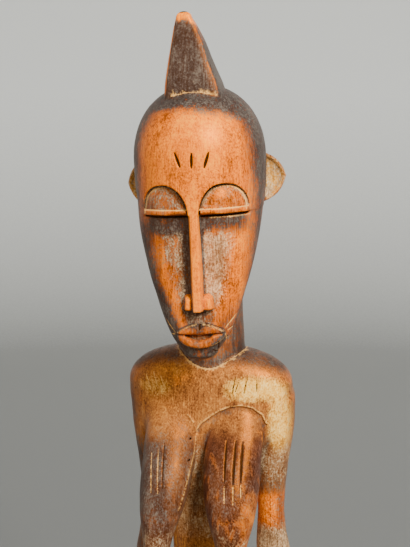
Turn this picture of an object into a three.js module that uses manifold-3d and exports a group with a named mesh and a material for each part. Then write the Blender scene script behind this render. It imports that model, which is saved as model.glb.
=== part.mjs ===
// A standing female figure of the deble kind, cut from one block of hardwood and about 98 cm tall.
// She has a long egg-shaped face with slit eyes under arched brows, a pointed crest, leaf-shaped
// ears, hanging arms that stand clear of the waist, long breasts, short legs and a low round base.
// Millimetres, Z up, the figure looks along -Y, and the origin is the middle of the underside.
import * as THREE from "three";
import { mergeVertices } from "three/addons/utils/BufferGeometryUtils.js";
import Module from "manifold-3d";

const wasm = await Module();
wasm.setup();

// Driving dimensions. Those of the head count from the eye line, before the head is turned.
const BASE_RADIUS = 100;
const BASE_HEIGHT = 70;
const BASE_EDGE = 7; // how much of the base's upper edge is worn round
const HEAD_PLACE = [1, -45, 812]; // the eye line, in the middle of the head
const HEAD_TURN = 5; // degrees that the head looks to the figure's left
const HEAD_TILT = 2.9; // degrees that the crown leans to the figure's right
const FACE_REACH = [-72, -20]; // cuts into the face run between these two Y values
const EYE = { line: 3, middle: 25.2, halfWidth: 19.6, height: 25, lid: 2.5, bar: 5.2, barRise: 4.5 };
const LIPS = { level: -94.5, halfWidth: 20.5, upper: 8, lower: 12, slit: 4.2, notch: 1.8, rise: 4.5 };
const FOREHEAD_MARK = { width: 2.8, depth: 1.6, low: 40, high: 56, lowSpread: 9.5, highSpread: 14.5 };
const EAR = { length: 24, low: -22.5, high: 25.5, root: -16, thickness: 8, hollow: 2.5, rim: 3 };
const EAR_FULLNESS = 0.75; // how far out along an ear its edges stay level
const EAR_PLACE = { x: 48, y: 33, left: 23.5, right: 22, turn: 28 }; // left and right are heights
const ARM_SHIFT = { left: 1, right: 0 }; // the left arm stands a little further out and is thicker
const ARM_GIRTH = { left: 1.12, right: 1 };
const BREAST_SHIFT = -2; // the pair is cut a little towards the figure's right
const BREAST_GIRTH = { left: 1.04, right: 0.93 };
const BREAST_MARK = { width: 2.4, depth: 1.4, low: 545, high: 594, apart: 7.5, fromMiddle: 32 };
const BREAST_REACH = [-100, -52];

const SKULL = {
  sections: [
    [EYE.line, 0, 0, 52.8, 59, 69],
    [24, 0, 3, 55.8, 62, 70],
    [44, 0, 5, 56.5, 63, 66],
  ],
  top: 64,
  power: 2.2,
};
const FACE = {
  sections: [
    [-113, -1.3, -40, 14.5, 14, 8],
    [-106, -1.3, -38, 20, 18, 9],
    [-96, -1.3, -35, 26.1, 21.5, 13],
    [-82, -1.3, -30, 32.1, 24.5, 30],
    [-66, -1.3, -24, 37.5, 28.5, 53],
    [-50, -1.3, -18, 42.7, 34, 67],
    [-34, -1.3, -11, 46.9, 40, 71],
    [-16, -1.3, -5, 50.7, 46.5, 70],
    [2, -0.9, 0, 53.1, 52.5, 68.5],
    [34, 0, 4, 54, 54, 62],
  ],
  bottom: 7,
  square: 2.2,
};
const CREST = {
  sections: [
    [84, 0, 0, 25.4, 27, 32],
    [104, -0.7, -2, 23.6, 25.5, 28],
    [128, -2.3, -7, 17.3, 20, 20],
    [142, -2.6, -11, 13.6, 15.5, 14],
    [154, -3.6, -15, 9.8, 11, 9],
    [163, -4.4, -18, 6.2, 7, 5],
  ],
  top: 5,
  square: 5,
};
const NOSE = {
  sections: [
    [-76, 0, -50, 4.8, 15, 12],
    [-40, 0, -50, 4.5, 11.5, 12],
    [0, 0, -50, 4.2, 9.4, 12],
    [14, 0, -50, 4.8, 8, 12],
  ],
  square: 4,
};
const NOSTRIL = {
  sections: [
    [-74, 8, -50, 4.6, 9.8, 8],
    [-67, 7.6, -50, 4.4, 9.2, 8],
  ],
  top: 4,
  bottom: 2,
  square: 2.6,
};
const NECK = {
  sections: [
    [655, 1.5, 2, 31, 28.5, 28],
    [700, 0.8, -1, 28.9, 27, 27],
    [735, 0, -5, 28.8, 27, 27],
    [770, 0, -12, 29, 27, 27],
  ],
  top: 10,
};
const TRUNK = {
  sections: [
    [304, 0, 2, 26, 17, 24],
    [318, 0, 2, 36, 23, 32],
    [342, 0, 2, 44.5, 29, 37],
    [370, 0, 1, 44, 31, 33],
    [405, -1, 0, 35, 32, 23],
    [440, -1.5, 0, 29, 30, 20],
    [490, -2, 0, 33, 25, 21],
    [530, -1, 0, 37.5, 26, 24],
    [560, 0, 0, 44, 29, 27],
    [588, 0, 0, 55, 31, 29],
    [612, 0, 0, 69, 33, 31],
    [634, 0.4, 0, 75.5, 33, 32],
    [650, -0.8, 0, 75.3, 32.5, 32],
  ],
  bottom: 8,
  top: 36,
  power: 2.2,
  square: 2.3,
};
const BREAST = {
  sections: [
    [512, 33, -69, 12, 12.5, 10.5],
    [524, 33, -65, 14.6, 15.5, 13],
    [545, 31.5, -58, 20.5, 20, 19],
    [568, 30, -48, 24, 23, 23],
    [590, 29.5, -38, 24.6, 22, 22],
    [608, 30, -29, 23.6, 18, 18],
    [622, 30, -22, 22, 15, 14],
    [631, 30, -18, 19.5, 13.5, 11],
  ],
  bottom: 3,
  top: 6,
};
const NIPPLE = {
  sections: [
    [502, 33.5, -71, 8, 8, 8],
    [520, 33, -67, 10.3, 10.5, 9.5],
  ],
  bottom: 5,
  top: 2,
};
const ARM = {
  sections: [
    [356, 43, -22, 9.5, 8, 12],
    [374, 46, -20, 12, 9, 12],
    [392, 50, -17, 11.5, 10, 11],
    [408, 55.5, -13, 10, 10.5, 10.5],
    [440, 61, -3, 12.3, 14, 12.5],
    [466, 60.5, 5, 14, 16, 17],
    [490, 57.6, 3, 13.8, 15, 16],
    [506, 56, 2, 12.6, 15, 15],
    [527, 55, 1, 11, 14.5, 14.5],
    [550, 55, 1, 11.2, 15, 15],
    [575, 56, 1, 12.5, 16.5, 16.5],
    [600, 58, 1, 14, 18.5, 18],
    [620, 59, 1, 15, 19, 18.5],
    [640, 59.5, 1, 14, 16, 16],
  ],
  bottom: 8,
  top: 6,
};
const LEG = {
  sections: [
    [64, 29, -2, 14, 18, 18],
    [100, 28.5, 0, 13.5, 17, 16],
    [118, 28, 1, 13, 14, 15],
    [165, 28.5, 3, 17.5, 16, 21],
    [205, 28, 0, 16, 17, 17],
    [228, 27.5, -3, 17, 19, 16],
    [262, 26.5, -1, 19, 20, 20],
    [310, 24, 2, 20.5, 23, 28],
    [335, 23, 2, 20, 22, 28],
  ],
  top: 8,
};
const FOOT = {
  sections: [
    [64, 31, -10, 19, 46, 24],
    [78, 31, -9, 18, 43, 23],
    [90, 30, -5, 15, 33, 20],
  ],
  top: 10,
  square: 2.8,
};

const headPlace = new THREE.Matrix4()
  .makeTranslation(...HEAD_PLACE)
  .multiply(new THREE.Matrix4().makeRotationY(THREE.MathUtils.degToRad(-HEAD_TILT)))
  .multiply(new THREE.Matrix4().makeRotationZ(THREE.MathUtils.degToRad(HEAD_TURN)));

// The five numbers of a section at any height, on a smooth curve through the sections given.
function sectionAt(sections, z) {
  const last = sections.length - 1;
  const height = Math.min(Math.max(z, sections[0][0]), sections[last][0]);
  let i = 0;
  while (i < last - 1 && height > sections[i + 1][0]) i++;
  const low = sections[i];
  const high = sections[i + 1];
  const gap = high[0] - low[0];
  const t = (height - low[0]) / gap;
  const slope = (k, n) => {
    const a = sections[Math.max(n - 1, 0)];
    const b = sections[Math.min(n + 1, last)];
    return ((b[k] - a[k]) / (b[0] - a[0])) * gap;
  };
  return [1, 2, 3, 4, 5].map((k) => {
    const rise = high[k] - low[k];
    const from = slope(k, i);
    const to = slope(k, i + 1);
    return low[k] + t * (from + t * (3 * rise - 2 * from - to + t * (from + to - 2 * rise)));
  });
}

// One corner of an oval or boxy ring, whose front and back halves have their own depths.
function ringPoint([x, y, width, front, back], z, angle, square, shrink) {
  const round = (v) => Math.sign(v) * Math.abs(v) ** (2 / square);
  const side = round(Math.cos(angle));
  const deep = round(Math.sin(angle));
  return [x + side * width * shrink, y + deep * (deep < 0 ? front : back) * shrink, z];
}

// The heights of a loft's rings, each with how much its ring is drawn in.
function ringLevels({ sections, top = 0, bottom = 0, power = 2 }, { steps, ends, grow }) {
  const rounded = (from, height) => {
    const made = [];
    for (let i = 1; i < ends; i++) {
      const lift = Math.sin((i / ends) * (Math.PI / 2));
      made.push([from + lift * height, (1 - lift ** power) ** (1 / power)]);
    }
    return made;
  };
  const levels = [];
  for (let i = 0; i < sections.length - 1; i++) {
    const gap = sections[i + 1][0] - sections[i][0];
    for (let k = 0; k < steps; k++) levels.push([sections[i][0] + (gap * k) / steps, 1]);
  }
  const highest = sections[sections.length - 1][0];
  levels.push([highest, 1]);
  if (bottom) levels.unshift(...rounded(sections[0][0], -bottom - grow).reverse());
  if (top) levels.push(...rounded(highest, top + grow));
  return levels;
}

// A closed form through its sections. grow moves every side out, and growFront only the front.
function loft(form, { around = 24, steps = 1, ends = 3, grow = 0, growFront = 0 } = {}) {
  const { sections, top = 0, bottom = 0, square = 2 } = form;
  const levels = ringLevels(form, { steps, ends, grow });
  const points = [];
  for (const [z, shrink] of levels) {
    const [x, y, width, front, back] = sectionAt(sections, z);
    const grown = [x, y, width + grow, front + grow + growFront, back + grow];
    for (let i = 0; i < around; i++) {
      points.push(...ringPoint(grown, z, (i / around) * 2 * Math.PI, square, shrink));
    }
  }
  const [lowest, footX, footY] = sections[0];
  const [highest, crownX, crownY] = sections[sections.length - 1];
  points.push(footX, footY, bottom ? lowest - bottom - grow : lowest);
  points.push(crownX, crownY, top ? highest + top + grow : highest);

  const faces = [];
  const footPoint = levels.length * around;
  const lastRing = footPoint - around;
  for (let i = 0; i < around; i++) {
    const next = (i + 1) % around;
    faces.push(footPoint, next, i, footPoint + 1, lastRing + i, lastRing + next);
    for (let low = 0; low < lastRing; low += around) {
      const high = low + around;
      faces.push(low + i, low + next, high + next, low + i, high + next, high + i);
    }
  }
  const geometry = new THREE.BufferGeometry();
  geometry.setAttribute("position", new THREE.Float32BufferAttribute(points, 3));
  geometry.setIndex(faces);
  return geometry;
}

// A flat outline in the XZ plane, cut right through from yFront to yBack.
function plate(outline, yFront, yBack) {
  const shape = new THREE.Shape(outline.map(([x, z]) => new THREE.Vector2(x, z)));
  const geometry = new THREE.ExtrudeGeometry(shape, {
    depth: yBack - yFront,
    bevelEnabled: false,
    steps: 1,
  });
  geometry.rotateX(Math.PI / 2);
  geometry.translate(0, yBack, 0);
  return geometry;
}

// A closed geometry as a solid that can be joined and cut.
function solid(geometry) {
  const bare = geometry.clone();
  bare.deleteAttribute("normal");
  bare.deleteAttribute("uv");
  const merged = mergeVertices(bare, 1e-4);
  return new wasm.Manifold(
    new wasm.Mesh({
      numProp: 3,
      vertProperties: merged.attributes.position.array,
      triVerts: new Uint32Array(merged.index.array),
    }),
  );
}

const headSolid = (geometry) => solid(geometry.applyMatrix4(headPlace));

const joined = (solids) => solids.reduce((all, next) => all.add(next));

// The same form on the figure's left or right side, moved sideways by shift and girth times as wide.
const onSide = (form, side, shift = 0, girth = 1) => ({
  ...form,
  sections: form.sections.map(([z, x, y, width, ...depths]) => [
    z,
    side * x + shift,
    y,
    width * girth,
    ...depths,
  ]),
});

// A knife mark from one point to another, as a long leaf.
function leaf([x1, z1], [x2, z2], width) {
  const length = Math.hypot(x2 - x1, z2 - z1);
  const acrossX = ((z1 - z2) / length) * (width / 2);
  const acrossZ = ((x2 - x1) / length) * (width / 2);
  const midX = (x1 + x2) / 2;
  const midZ = (z1 + z2) / 2;
  return [
    [x1, z1],
    [midX + acrossX, midZ + acrossZ],
    [x2, z2],
    [midX - acrossX, midZ - acrossZ],
  ];
}

// The half-moon of an eye socket, fuller on its outer side.
function eyeArch(side, inset = 0) {
  const steps = 14;
  const outline = [];
  for (let i = 0; i <= steps; i++) {
    const angle = (i / steps) * Math.PI;
    const across = Math.cos(angle);
    const fullness = across > 0 ? 0.8 : 1;
    const reach = (EYE.halfWidth - inset) * Math.sign(across) * Math.abs(across) ** fullness;
    const rise = (EYE.height - inset) * Math.sin(angle) ** fullness;
    outline.push([side * (EYE.middle + reach), EYE.line + rise]);
  }
  return outline;
}

const HEAD_CORNERS = 32;
const faceSolid = (growFront = 0) => headSolid(loft(FACE, { around: HEAD_CORNERS, growFront }));
const skullSolid = (grow = 0) => headSolid(loft(SKULL, { around: HEAD_CORNERS, ends: 6, grow }));
const beforeFace = (outline) => headSolid(plate(outline, ...FACE_REACH));

// The half-moon is cut back to the cheek, then holds a swelling lid and a bar under it.
function carveEye(head, side) {
  const socketEdge = 3;
  const cut = beforeFace(eyeArch(side)).subtract(faceSolid());
  const lid = beforeFace(eyeArch(side, socketEdge)).intersect(faceSolid(EYE.lid));
  const inner = side * (EYE.middle - EYE.halfWidth);
  const outer = side * (EYE.middle + EYE.halfWidth);
  const top = EYE.line + EYE.bar;
  const bar = beforeFace([
    [inner, EYE.line],
    [outer, EYE.line],
    [outer, top],
    [inner, top],
  ]);
  return head.subtract(cut).add(lid).add(bar.intersect(faceSolid(EYE.barRise)));
}

function makeNose() {
  const nostrils = [-1, 1].map((side) => headSolid(loft(onSide(NOSTRIL, side), { around: 10 })));
  return joined([headSolid(loft(NOSE, { around: 16 })), ...nostrils]);
}

// Two full lips with an open slit between them, and a notch in the middle of the upper one.
function makeLips() {
  const { level, halfWidth, upper, lower, slit, notch, rise } = LIPS;
  const steps = 10;
  const upperLip = [];
  const lowerLip = [];
  for (let i = 0; i <= steps; i++) {
    const across = (2 * i) / steps - 1;
    const dip = across === 0 ? notch : 0;
    upperLip.push([across * halfWidth, level + upper * (1 - across ** 2) - dip]);
    lowerLip.push([across * halfWidth, level - 1 - lower * Math.sqrt(1 - across ** 2)]);
  }
  for (const across of [0.6, 0, -0.6]) {
    const open = slit * (1 - across ** 2);
    upperLip.push([across * halfWidth, level - open * 0.3]);
    lowerLip.push([across * halfWidth, level - 1.6 - open]);
  }
  return joined([upperLip, lowerLip].map(beforeFace)).intersect(faceSolid(rise));
}

// The outline of a pointed ear, from its root out to the tip and back.
function earOutline(side, root, inset) {
  const { length, low, high } = EAR;
  const tip = [length - 1.5 * inset, 1];
  const path = new THREE.Path();
  path.moveTo(root, low + inset);
  path.quadraticCurveTo(length * EAR_FULLNESS, low + inset, ...tip);
  path.quadraticCurveTo(length * EAR_FULLNESS, high - inset, root, high - inset);
  return path.getPoints(5).map(({ x, y }) => [side * x, y]);
}

// A leaf-shaped ear with a rim around a shallow hollow.
function makeEar(side) {
  const half = EAR.thickness / 2;
  const body = plate(earOutline(side, EAR.root, 0), -half, half);
  const hollow = plate(earOutline(side, 3, EAR.rim), -half - 1, EAR.hollow - half);
  const turn = new THREE.Matrix4().makeRotationZ(THREE.MathUtils.degToRad(side * EAR_PLACE.turn));
  const level = side > 0 ? EAR_PLACE.left : EAR_PLACE.right;
  const place = new THREE.Matrix4().makeTranslation(side * EAR_PLACE.x, EAR_PLACE.y, level).multiply(turn);
  return headSolid(body.applyMatrix4(place)).subtract(headSolid(hollow.applyMatrix4(place)));
}

function foreheadMarks() {
  const { width, depth, low, high, lowSpread, highSpread } = FOREHEAD_MARK;
  const marks = [-1, 0, 1].map((side) =>
    beforeFace(leaf([side * lowSpread, low], [side * highSpread, high], width)),
  );
  return joined(marks).subtract(skullSolid(-depth));
}

function makeHead() {
  let head = skullSolid().add(faceSolid());
  for (const side of [-1, 1]) head = carveEye(head, side);
  const crest = headSolid(loft(CREST, { around: 20 }));
  head = joined([head, makeNose(), makeLips(), crest, makeEar(-1), makeEar(1)]);
  return head.subtract(foreheadMarks());
}

// A long hanging breast with three cuts down its front and a stepped tip.
function makeBreast(side) {
  const girth = side > 0 ? BREAST_GIRTH.left : BREAST_GIRTH.right;
  const form = onSide(BREAST, side, BREAST_SHIFT, girth);
  const detail = { around: 18 };
  const { width, depth, low, high, apart, fromMiddle } = BREAST_MARK;
  const middle = side * fromMiddle + BREAST_SHIFT;
  const marks = [-apart, 0, apart].map((x) =>
    solid(plate(leaf([middle + x, low], [middle + x, high], width), ...BREAST_REACH)),
  );
  const cut = joined(marks).subtract(solid(loft(form, { ...detail, grow: -depth })));
  const tip = solid(loft(onSide(NIPPLE, side, BREAST_SHIFT), { around: 12 }));
  return solid(loft(form, detail)).subtract(cut).add(tip);
}

function makeLimbs(side) {
  const own = side > 0 ? "left" : "right";
  const arm = solid(loft(onSide(ARM, side, ARM_SHIFT[own], ARM_GIRTH[own]), { around: 14 }));
  const leg = solid(loft(onSide(LEG, side), { around: 12 }));
  const foot = solid(loft(onSide(FOOT, side), { around: 16 }));
  return joined([arm, leg, foot]);
}

function makeBase() {
  const profile = [
    [0, 0],
    [BASE_RADIUS - BASE_EDGE / 2, 0],
    [BASE_RADIUS, BASE_EDGE / 2],
    [BASE_RADIUS, BASE_HEIGHT - BASE_EDGE],
    [BASE_RADIUS - BASE_EDGE * 0.3, BASE_HEIGHT - BASE_EDGE * 0.3],
    [BASE_RADIUS - BASE_EDGE, BASE_HEIGHT],
    [0, BASE_HEIGHT],
  ];
  const points = profile.map(([r, z]) => new THREE.Vector2(r, z));
  return solid(new THREE.LatheGeometry(points, 40).rotateX(Math.PI / 2));
}

function makeFigure() {
  return joined([
    solid(loft(TRUNK, { around: 32, ends: 6 })),
    makeBreast(-1),
    makeBreast(1),
    makeLimbs(-1),
    makeLimbs(1),
    solid(loft(NECK, { around: 20 })),
    makeHead(),
    makeBase(),
  ]);
}

// The finished solid as a mesh.
function meshOf(made, name, material) {
  const { vertProperties, triVerts } = made.getMesh();
  const geometry = new THREE.BufferGeometry();
  geometry.setAttribute("position", new THREE.BufferAttribute(vertProperties, 3));
  geometry.setIndex(new THREE.BufferAttribute(triVerts, 1));
  geometry.computeVertexNormals();
  const mesh = new THREE.Mesh(geometry, material);
  mesh.name = name;
  return mesh;
}

const wood = new THREE.MeshStandardMaterial({ color: 0x9a5a2c, roughness: 0.45, metalness: 0 });

const group = new THREE.Group();
group.add(meshOf(makeFigure(), "figure", wood));

export default group;
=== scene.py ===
"""Looks of a standing female figure of the deble kind, carved from one block of hardwood.

The whole figure is one piece. Its forms are measured in millimetres, as a carver sets them out,
and the finished surface is laid in metres over the CAD solid. The figure looks along -Y.
"""

from concurrent.futures import ThreadPoolExecutor
from itertools import product
from math import cos, hypot, pi, radians, sin

import bpy
import numpy as np
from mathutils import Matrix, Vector


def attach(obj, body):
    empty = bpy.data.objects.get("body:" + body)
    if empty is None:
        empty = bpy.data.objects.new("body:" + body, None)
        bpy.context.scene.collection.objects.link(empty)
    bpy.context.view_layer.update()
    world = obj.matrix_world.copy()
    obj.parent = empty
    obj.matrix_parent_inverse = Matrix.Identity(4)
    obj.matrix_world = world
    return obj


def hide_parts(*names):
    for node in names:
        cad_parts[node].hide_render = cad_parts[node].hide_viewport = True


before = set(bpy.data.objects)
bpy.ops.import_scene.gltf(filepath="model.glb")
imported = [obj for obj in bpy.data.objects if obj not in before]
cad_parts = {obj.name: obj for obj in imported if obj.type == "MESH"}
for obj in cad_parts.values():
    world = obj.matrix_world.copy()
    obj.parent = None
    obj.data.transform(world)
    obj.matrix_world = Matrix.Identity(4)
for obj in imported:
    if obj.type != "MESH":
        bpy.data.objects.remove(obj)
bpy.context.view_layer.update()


# The base
# A low round drum that is left of the block's full width, adzed flat underneath, with its
# upper edge worn round by handling. The figure grows out of it as one length of upright grain.
forms = []  # each form of the block with the fillet that it is cut in with, from the ground up
BASE_RADIUS = 100.0
BASE_HEIGHT = 70.0
BASE_WEAR = 7.0
BASE_FILLET = 1.0


def worn_edge(out, over, wear):
    """How far a point is outside two faces, given its distance to each, that meet in a worn edge."""
    out = out + wear
    over = over + wear
    return np.hypot(np.maximum(out, 0), np.maximum(over, 0)) + np.minimum(np.maximum(out, over), 0) - wear


def base_outside(p):
    beside = np.hypot(p[:, 0], p[:, 1]) - BASE_RADIUS
    return np.maximum(worn_edge(beside, p[:, 2] - BASE_HEIGHT, BASE_WEAR), -p[:, 2])


base_box = np.array([BASE_RADIUS, BASE_RADIUS, BASE_HEIGHT])
forms.append(((base_outside, base_box * [-1, -1, 0], base_box), BASE_FILLET))


# Legs and feet
# Short bent legs on long plain feet, rounded with the adze and left thicker than life, because
# they carry the whole block. A form is set out in rings of [height, x, y, half width, front, back].
SMALLEST_SIZE = 1e-3  # keeps the middle of a form from being divided by


def ring_curve(sections, steps=400):
    """The rings between the ones set out, on a smooth curve."""
    rows = np.array(sections, dtype=float)
    heights = rows[:, 0]
    last = len(rows) - 1
    before = np.maximum(np.arange(last + 1) - 1, 0)
    after = np.minimum(np.arange(last + 1) + 1, last)
    slopes = (rows[after] - rows[before]) / (heights[after] - heights[before])[:, None]
    fine = np.linspace(heights[0], heights[-1], steps)
    part = np.clip(np.searchsorted(heights, fine, side="right") - 1, 0, last - 1)
    gap = (heights[part + 1] - heights[part])[:, None]
    t = (fine - heights[part])[:, None] / gap
    rise = rows[part + 1] - rows[part]
    leave = slopes[part] * gap
    arrive = slopes[part + 1] * gap
    return rows[part] + t * (leave + t * (3 * rise - 2 * leave - arrive + t * (leave + arrive - 2 * rise)))


def form(sections, top=0.0, bottom=0.0, square=2.0, power=2.0):
    """A swelling form through its rings: how far a point is outside it, and the box it fills.

    top and bottom are how far its round ends reach beyond the last rings. square is 2 for an oval
    ring and more for a boxy one, and power is 2 for a round end and more for a flat one.
    """
    curve = ring_curve(sections)
    lowest, highest = curve[0, 0], curve[-1, 0]

    def outside(p):
        level = np.clip(p[:, 2], lowest, highest)
        place = (level - lowest) / (highest - lowest) * (len(curve) - 1)
        row = np.minimum(place.astype(int), len(curve) - 2)
        mix = (place - row)[:, None]
        ring = curve[row] * (1 - mix) + curve[row + 1] * mix
        across = p[:, 0] - ring[:, 1]
        deep = p[:, 1] - ring[:, 2]
        over = p[:, 2] - level
        depth = np.where(deep < 0, ring[:, 4], ring[:, 5])
        size = np.abs(across / ring[:, 3]) ** square + np.abs(deep / depth) ** square
        size = size ** (power / square)
        if top:
            size += (np.maximum(over, 0) / top) ** power
        if bottom:
            size += (np.maximum(-over, 0) / bottom) ** power
        size = np.maximum(size ** (1 / power), SMALLEST_SIZE)
        reach = np.sqrt(across**2 + deep**2 + (over**2 if top or bottom else 0))
        gap = reach * (1 - 1 / size)
        if not top:
            gap = np.maximum(gap, p[:, 2] - highest)
        if not bottom:
            gap = np.maximum(gap, lowest - p[:, 2])
        return gap

    left, right = (curve[:, 1] - curve[:, 3]).min(), (curve[:, 1] + curve[:, 3]).max()
    front, back = (curve[:, 2] - curve[:, 4]).min(), (curve[:, 2] + curve[:, 5]).max()
    return outside, np.array([left, front, lowest - bottom]), np.array([right, back, highest + top])


def on_side(sections, side, shift=0.0, girth=1.0):
    """The rings on the figure's right or left, for side -1 or 1, moved sideways and made wider."""
    return [[z, side * x + shift, y, width * girth, *depths] for z, x, y, width, *depths in sections]


LEG = [
    [64, 29, -2, 14, 18, 18],
    [100, 28.5, 0, 13.5, 17, 16],
    [118, 28, 1, 13, 14, 15],
    [165, 28.5, 3, 17.5, 16, 21],
    [205, 28, 0, 16, 17, 17],
    [228, 27.5, -3, 17, 19, 16],
    [262, 26.5, -1, 19, 20, 20],
    [310, 24, 2, 20.5, 23, 28],
    [335, 23, 2, 20, 22, 28],
]
FOOT = [[64, 31, -10, 19, 46, 24], [78, 31, -9, 18, 43, 23], [90, 30, -5, 15, 33, 20]]
BODY_FILLET = 4.0
for side in (-1, 1):
    forms.append((form(on_side(LEG, side), top=8), BODY_FILLET))
    forms.append((form(on_side(FOOT, side), top=10, square=2.8), BODY_FILLET))


# The trunk
# Narrow waist and broad flat shoulders, planed smooth at the chest where hands have rubbed it.
TRUNK = [
    [304, 0, 2, 26, 17, 24],
    [318, 0, 2, 36, 23, 32],
    [342, 0, 2, 44.5, 29, 37],
    [370, 0, 1, 44, 31, 33],
    [405, -1, 0, 35, 32, 23],
    [440, -1.5, 0, 29, 30, 20],
    [490, -2, 0, 33, 25, 21],
    [530, -1, 0, 37.5, 26, 24],
    [560, 0, 0, 44, 29, 27],
    [588, 0, 0, 55, 31, 29],
    [612, 0, 0, 69, 33, 31],
    [634, 0.4, 0, 75.5, 33, 32],
    [650, -0.8, 0, 75.3, 32.5, 32],
]
forms.append((form(TRUNK, bottom=8, top=36, power=2.2, square=2.3), BODY_FILLET))


# Arms and hands
# The arms hang clear of the waist and the flat hands are laid on the hips. They were sawn and
# gouged free from front and back.
ARM = [
    [356, 43, -22, 9.5, 8, 12],
    [374, 46, -20, 12, 9, 12],
    [392, 50, -17, 11.5, 10, 11],
    [408, 55.5, -13, 10, 10.5, 10.5],
    [440, 61, -3, 12.3, 14, 12.5],
    [466, 60.5, 5, 14, 16, 17],
    [490, 57.6, 3, 13.8, 15, 16],
    [506, 56, 2, 12.6, 15, 15],
    [527, 55, 1, 11, 14.5, 14.5],
    [550, 55, 1, 11.2, 15, 15],
    [575, 56, 1, 12.5, 16.5, 16.5],
    [600, 58, 1, 14, 18.5, 18],
    [620, 59, 1, 15, 19, 18.5],
    [640, 59.5, 1, 14, 16, 16],
]
ARM_FILLET = 3.0
for side, shift, girth in ((-1, 0.0, 1.0), (1, 1.0, 1.12)):  # the left arm is the thicker
    forms.append((form(on_side(ARM, side, shift, girth), bottom=8, top=14), ARM_FILLET))


# The neck
# A plain round post that leans forward into the back of the head.
NECK = [
    [655, 1.5, 2, 31, 28.5, 28],
    [700, 0.8, -1, 28.9, 27, 27],
    [735, 0, -5, 28.8, 27, 27],
    [770, 0, -12, 29, 27, 27],
]
NECK_FILLET = 3.0
neck = form(NECK, top=10)
forms.append((neck, NECK_FILLET))


# The breasts
# Long and hanging, cut in the round, with a stepped tip. The pair sits a little to the figure's
# right, and its left one is the fuller.
BREAST = [
    [512, 33, -69, 12, 12.5, 10.5],
    [524, 33, -65, 14.6, 15.5, 13],
    [545, 31.5, -58, 20.5, 20, 19],
    [568, 30, -48, 24, 23, 23],
    [590, 29.5, -38, 24.6, 22, 22],
    [608, 30, -29, 23.6, 18, 18],
    [622, 30, -22, 22, 15, 14],
    [631, 30, -18, 19.5, 13.5, 11],
]
NIPPLE = [[502, 33.5, -71, 8, 8, 8], [520, 33, -67, 10.3, 10.5, 9.5]]
BREAST_SHIFT = -2.0
TIP_FILLET = 0.8
breasts = []
for side, girth, fillet in ((-1, 0.93, 9.0), (1, 1.04, 2.5)):
    breasts.append(form(on_side(BREAST, side, BREAST_SHIFT, girth), bottom=3, top=6))
    forms.append((breasts[-1], fillet))
    forms.append((form(on_side(NIPPLE, side, BREAST_SHIFT), bottom=5, top=2), TIP_FILLET))


# The skull and the face
# A high dome over a long egg-shaped face that tapers to the chin. The whole head looks a little
# to the figure's left and leans to its right, so it is set out upright and straight, on a level
# 0 that lies just under the eyes, and then put in place.
HEAD_PLACE = np.array([1.0, -45.0, 812.0])
HEAD_TURN = radians(5)
HEAD_TILT = radians(-2.9)
tilt = np.array([[cos(HEAD_TILT), 0, sin(HEAD_TILT)], [0, 1, 0], [-sin(HEAD_TILT), 0, cos(HEAD_TILT)]])
turn = np.array([[cos(HEAD_TURN), -sin(HEAD_TURN), 0], [sin(HEAD_TURN), cos(HEAD_TURN), 0], [0, 0, 1]])
head_axes = tilt @ turn
EYE_LINE = 3.0
SKULL = [[EYE_LINE, 0, 0, 52.8, 59, 69], [24, 0, 3, 55.8, 62, 70], [44, 0, 5, 56.5, 63, 66]]
FACE = [
    [-113, -1.3, -40, 14.5, 14, 8],
    [-106, -1.3, -38, 20, 18, 9],
    [-96, -1.3, -35, 26.1, 21.5, 13],
    [-82, -1.3, -30, 32.1, 24.5, 30],
    [-66, -1.3, -24, 37.5, 28.5, 53],
    [-50, -1.3, -18, 42.7, 34, 67],
    [-34, -1.3, -11, 46.9, 40, 71],
    [-16, -1.3, -5, 50.7, 46.5, 70],
    [2, -0.9, 0, 53.1, 52.5, 68.5],
    [34, 0, 4, 54, 54, 62],
]
skull = form(SKULL, top=64, power=2.2)
face = form(FACE, bottom=7, square=2.2)


# The eyes
# Each socket is a half-moon sunk under the brow with an upright wall. It holds a swelling lid
# over a proud straight bar, with the slit of the eye undercut below the bar.
EYE_MIDDLE = 24.4
EYE_HALF_WIDTH = 19.9
EYE_HEIGHT = 25.0
LID_RISE = 1.8
LID_SWELL = 1.7
GUTTER_DEPTH = 0.9
BAR_HEIGHT = 5.2
BAR_RISE = 4.5
SLIT_DEPTH = 1.7


def ease(start, end, value):
    """0 before start and 1 after end, with a soft change between them."""
    t = np.clip((value - start) / (end - start), 0, 1)
    return t * t * (3 - 2 * t)


def eye_arch(x, z):
    """How far a point of the face is outside the half-moon, which is fuller on its outer side."""
    out = np.abs(x) - EYE_MIDDLE
    up = np.maximum(z - EYE_LINE, 0)
    fullness = np.where(out > 0, 2.5, 2.0)
    size = (np.abs(out / EYE_HALF_WIDTH) ** fullness + (up / EYE_HEIGHT) ** fullness) ** (1 / fullness)
    return np.hypot(out, up) * (1 - 1 / np.maximum(size, SMALLEST_SIZE))


def eye_rise(x, z):
    """How far lid and bar stand out from the cheek, and how deep the slit goes."""
    inset = -eye_arch(x, z)
    over = z - EYE_LINE
    lid = (LID_RISE + LID_SWELL * ease(2, 12, inset)) * ease(1.0, 2.6, inset) * ease(0, 0.6, over)
    gutter = GUTTER_DEPTH * ease(0, 0.6, inset) * ease(2.0, 1.0, inset) * ease(0, 1, over)
    beside = EYE_HALF_WIDTH - np.abs(np.abs(x) - EYE_MIDDLE)
    bar = BAR_RISE * ease(0, 0.8, over) * ease(BAR_HEIGHT, BAR_HEIGHT - 1.0, over) * ease(0, 1.0, beside)
    slit = SLIT_DEPTH * ease(-2.2, -1.2, over) * ease(0.2, -0.8, over) * ease(-1, 2, beside)
    return np.maximum(lid - gutter, bar) - slit


# The cheeks
# Scooped out on both sides of the nose and left full at the temples, so that the brow throws
# a shadow over them.
SCOOP_DEPTH = 3.4
UNDER_NOSE_DEPTH = 1.6


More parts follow.
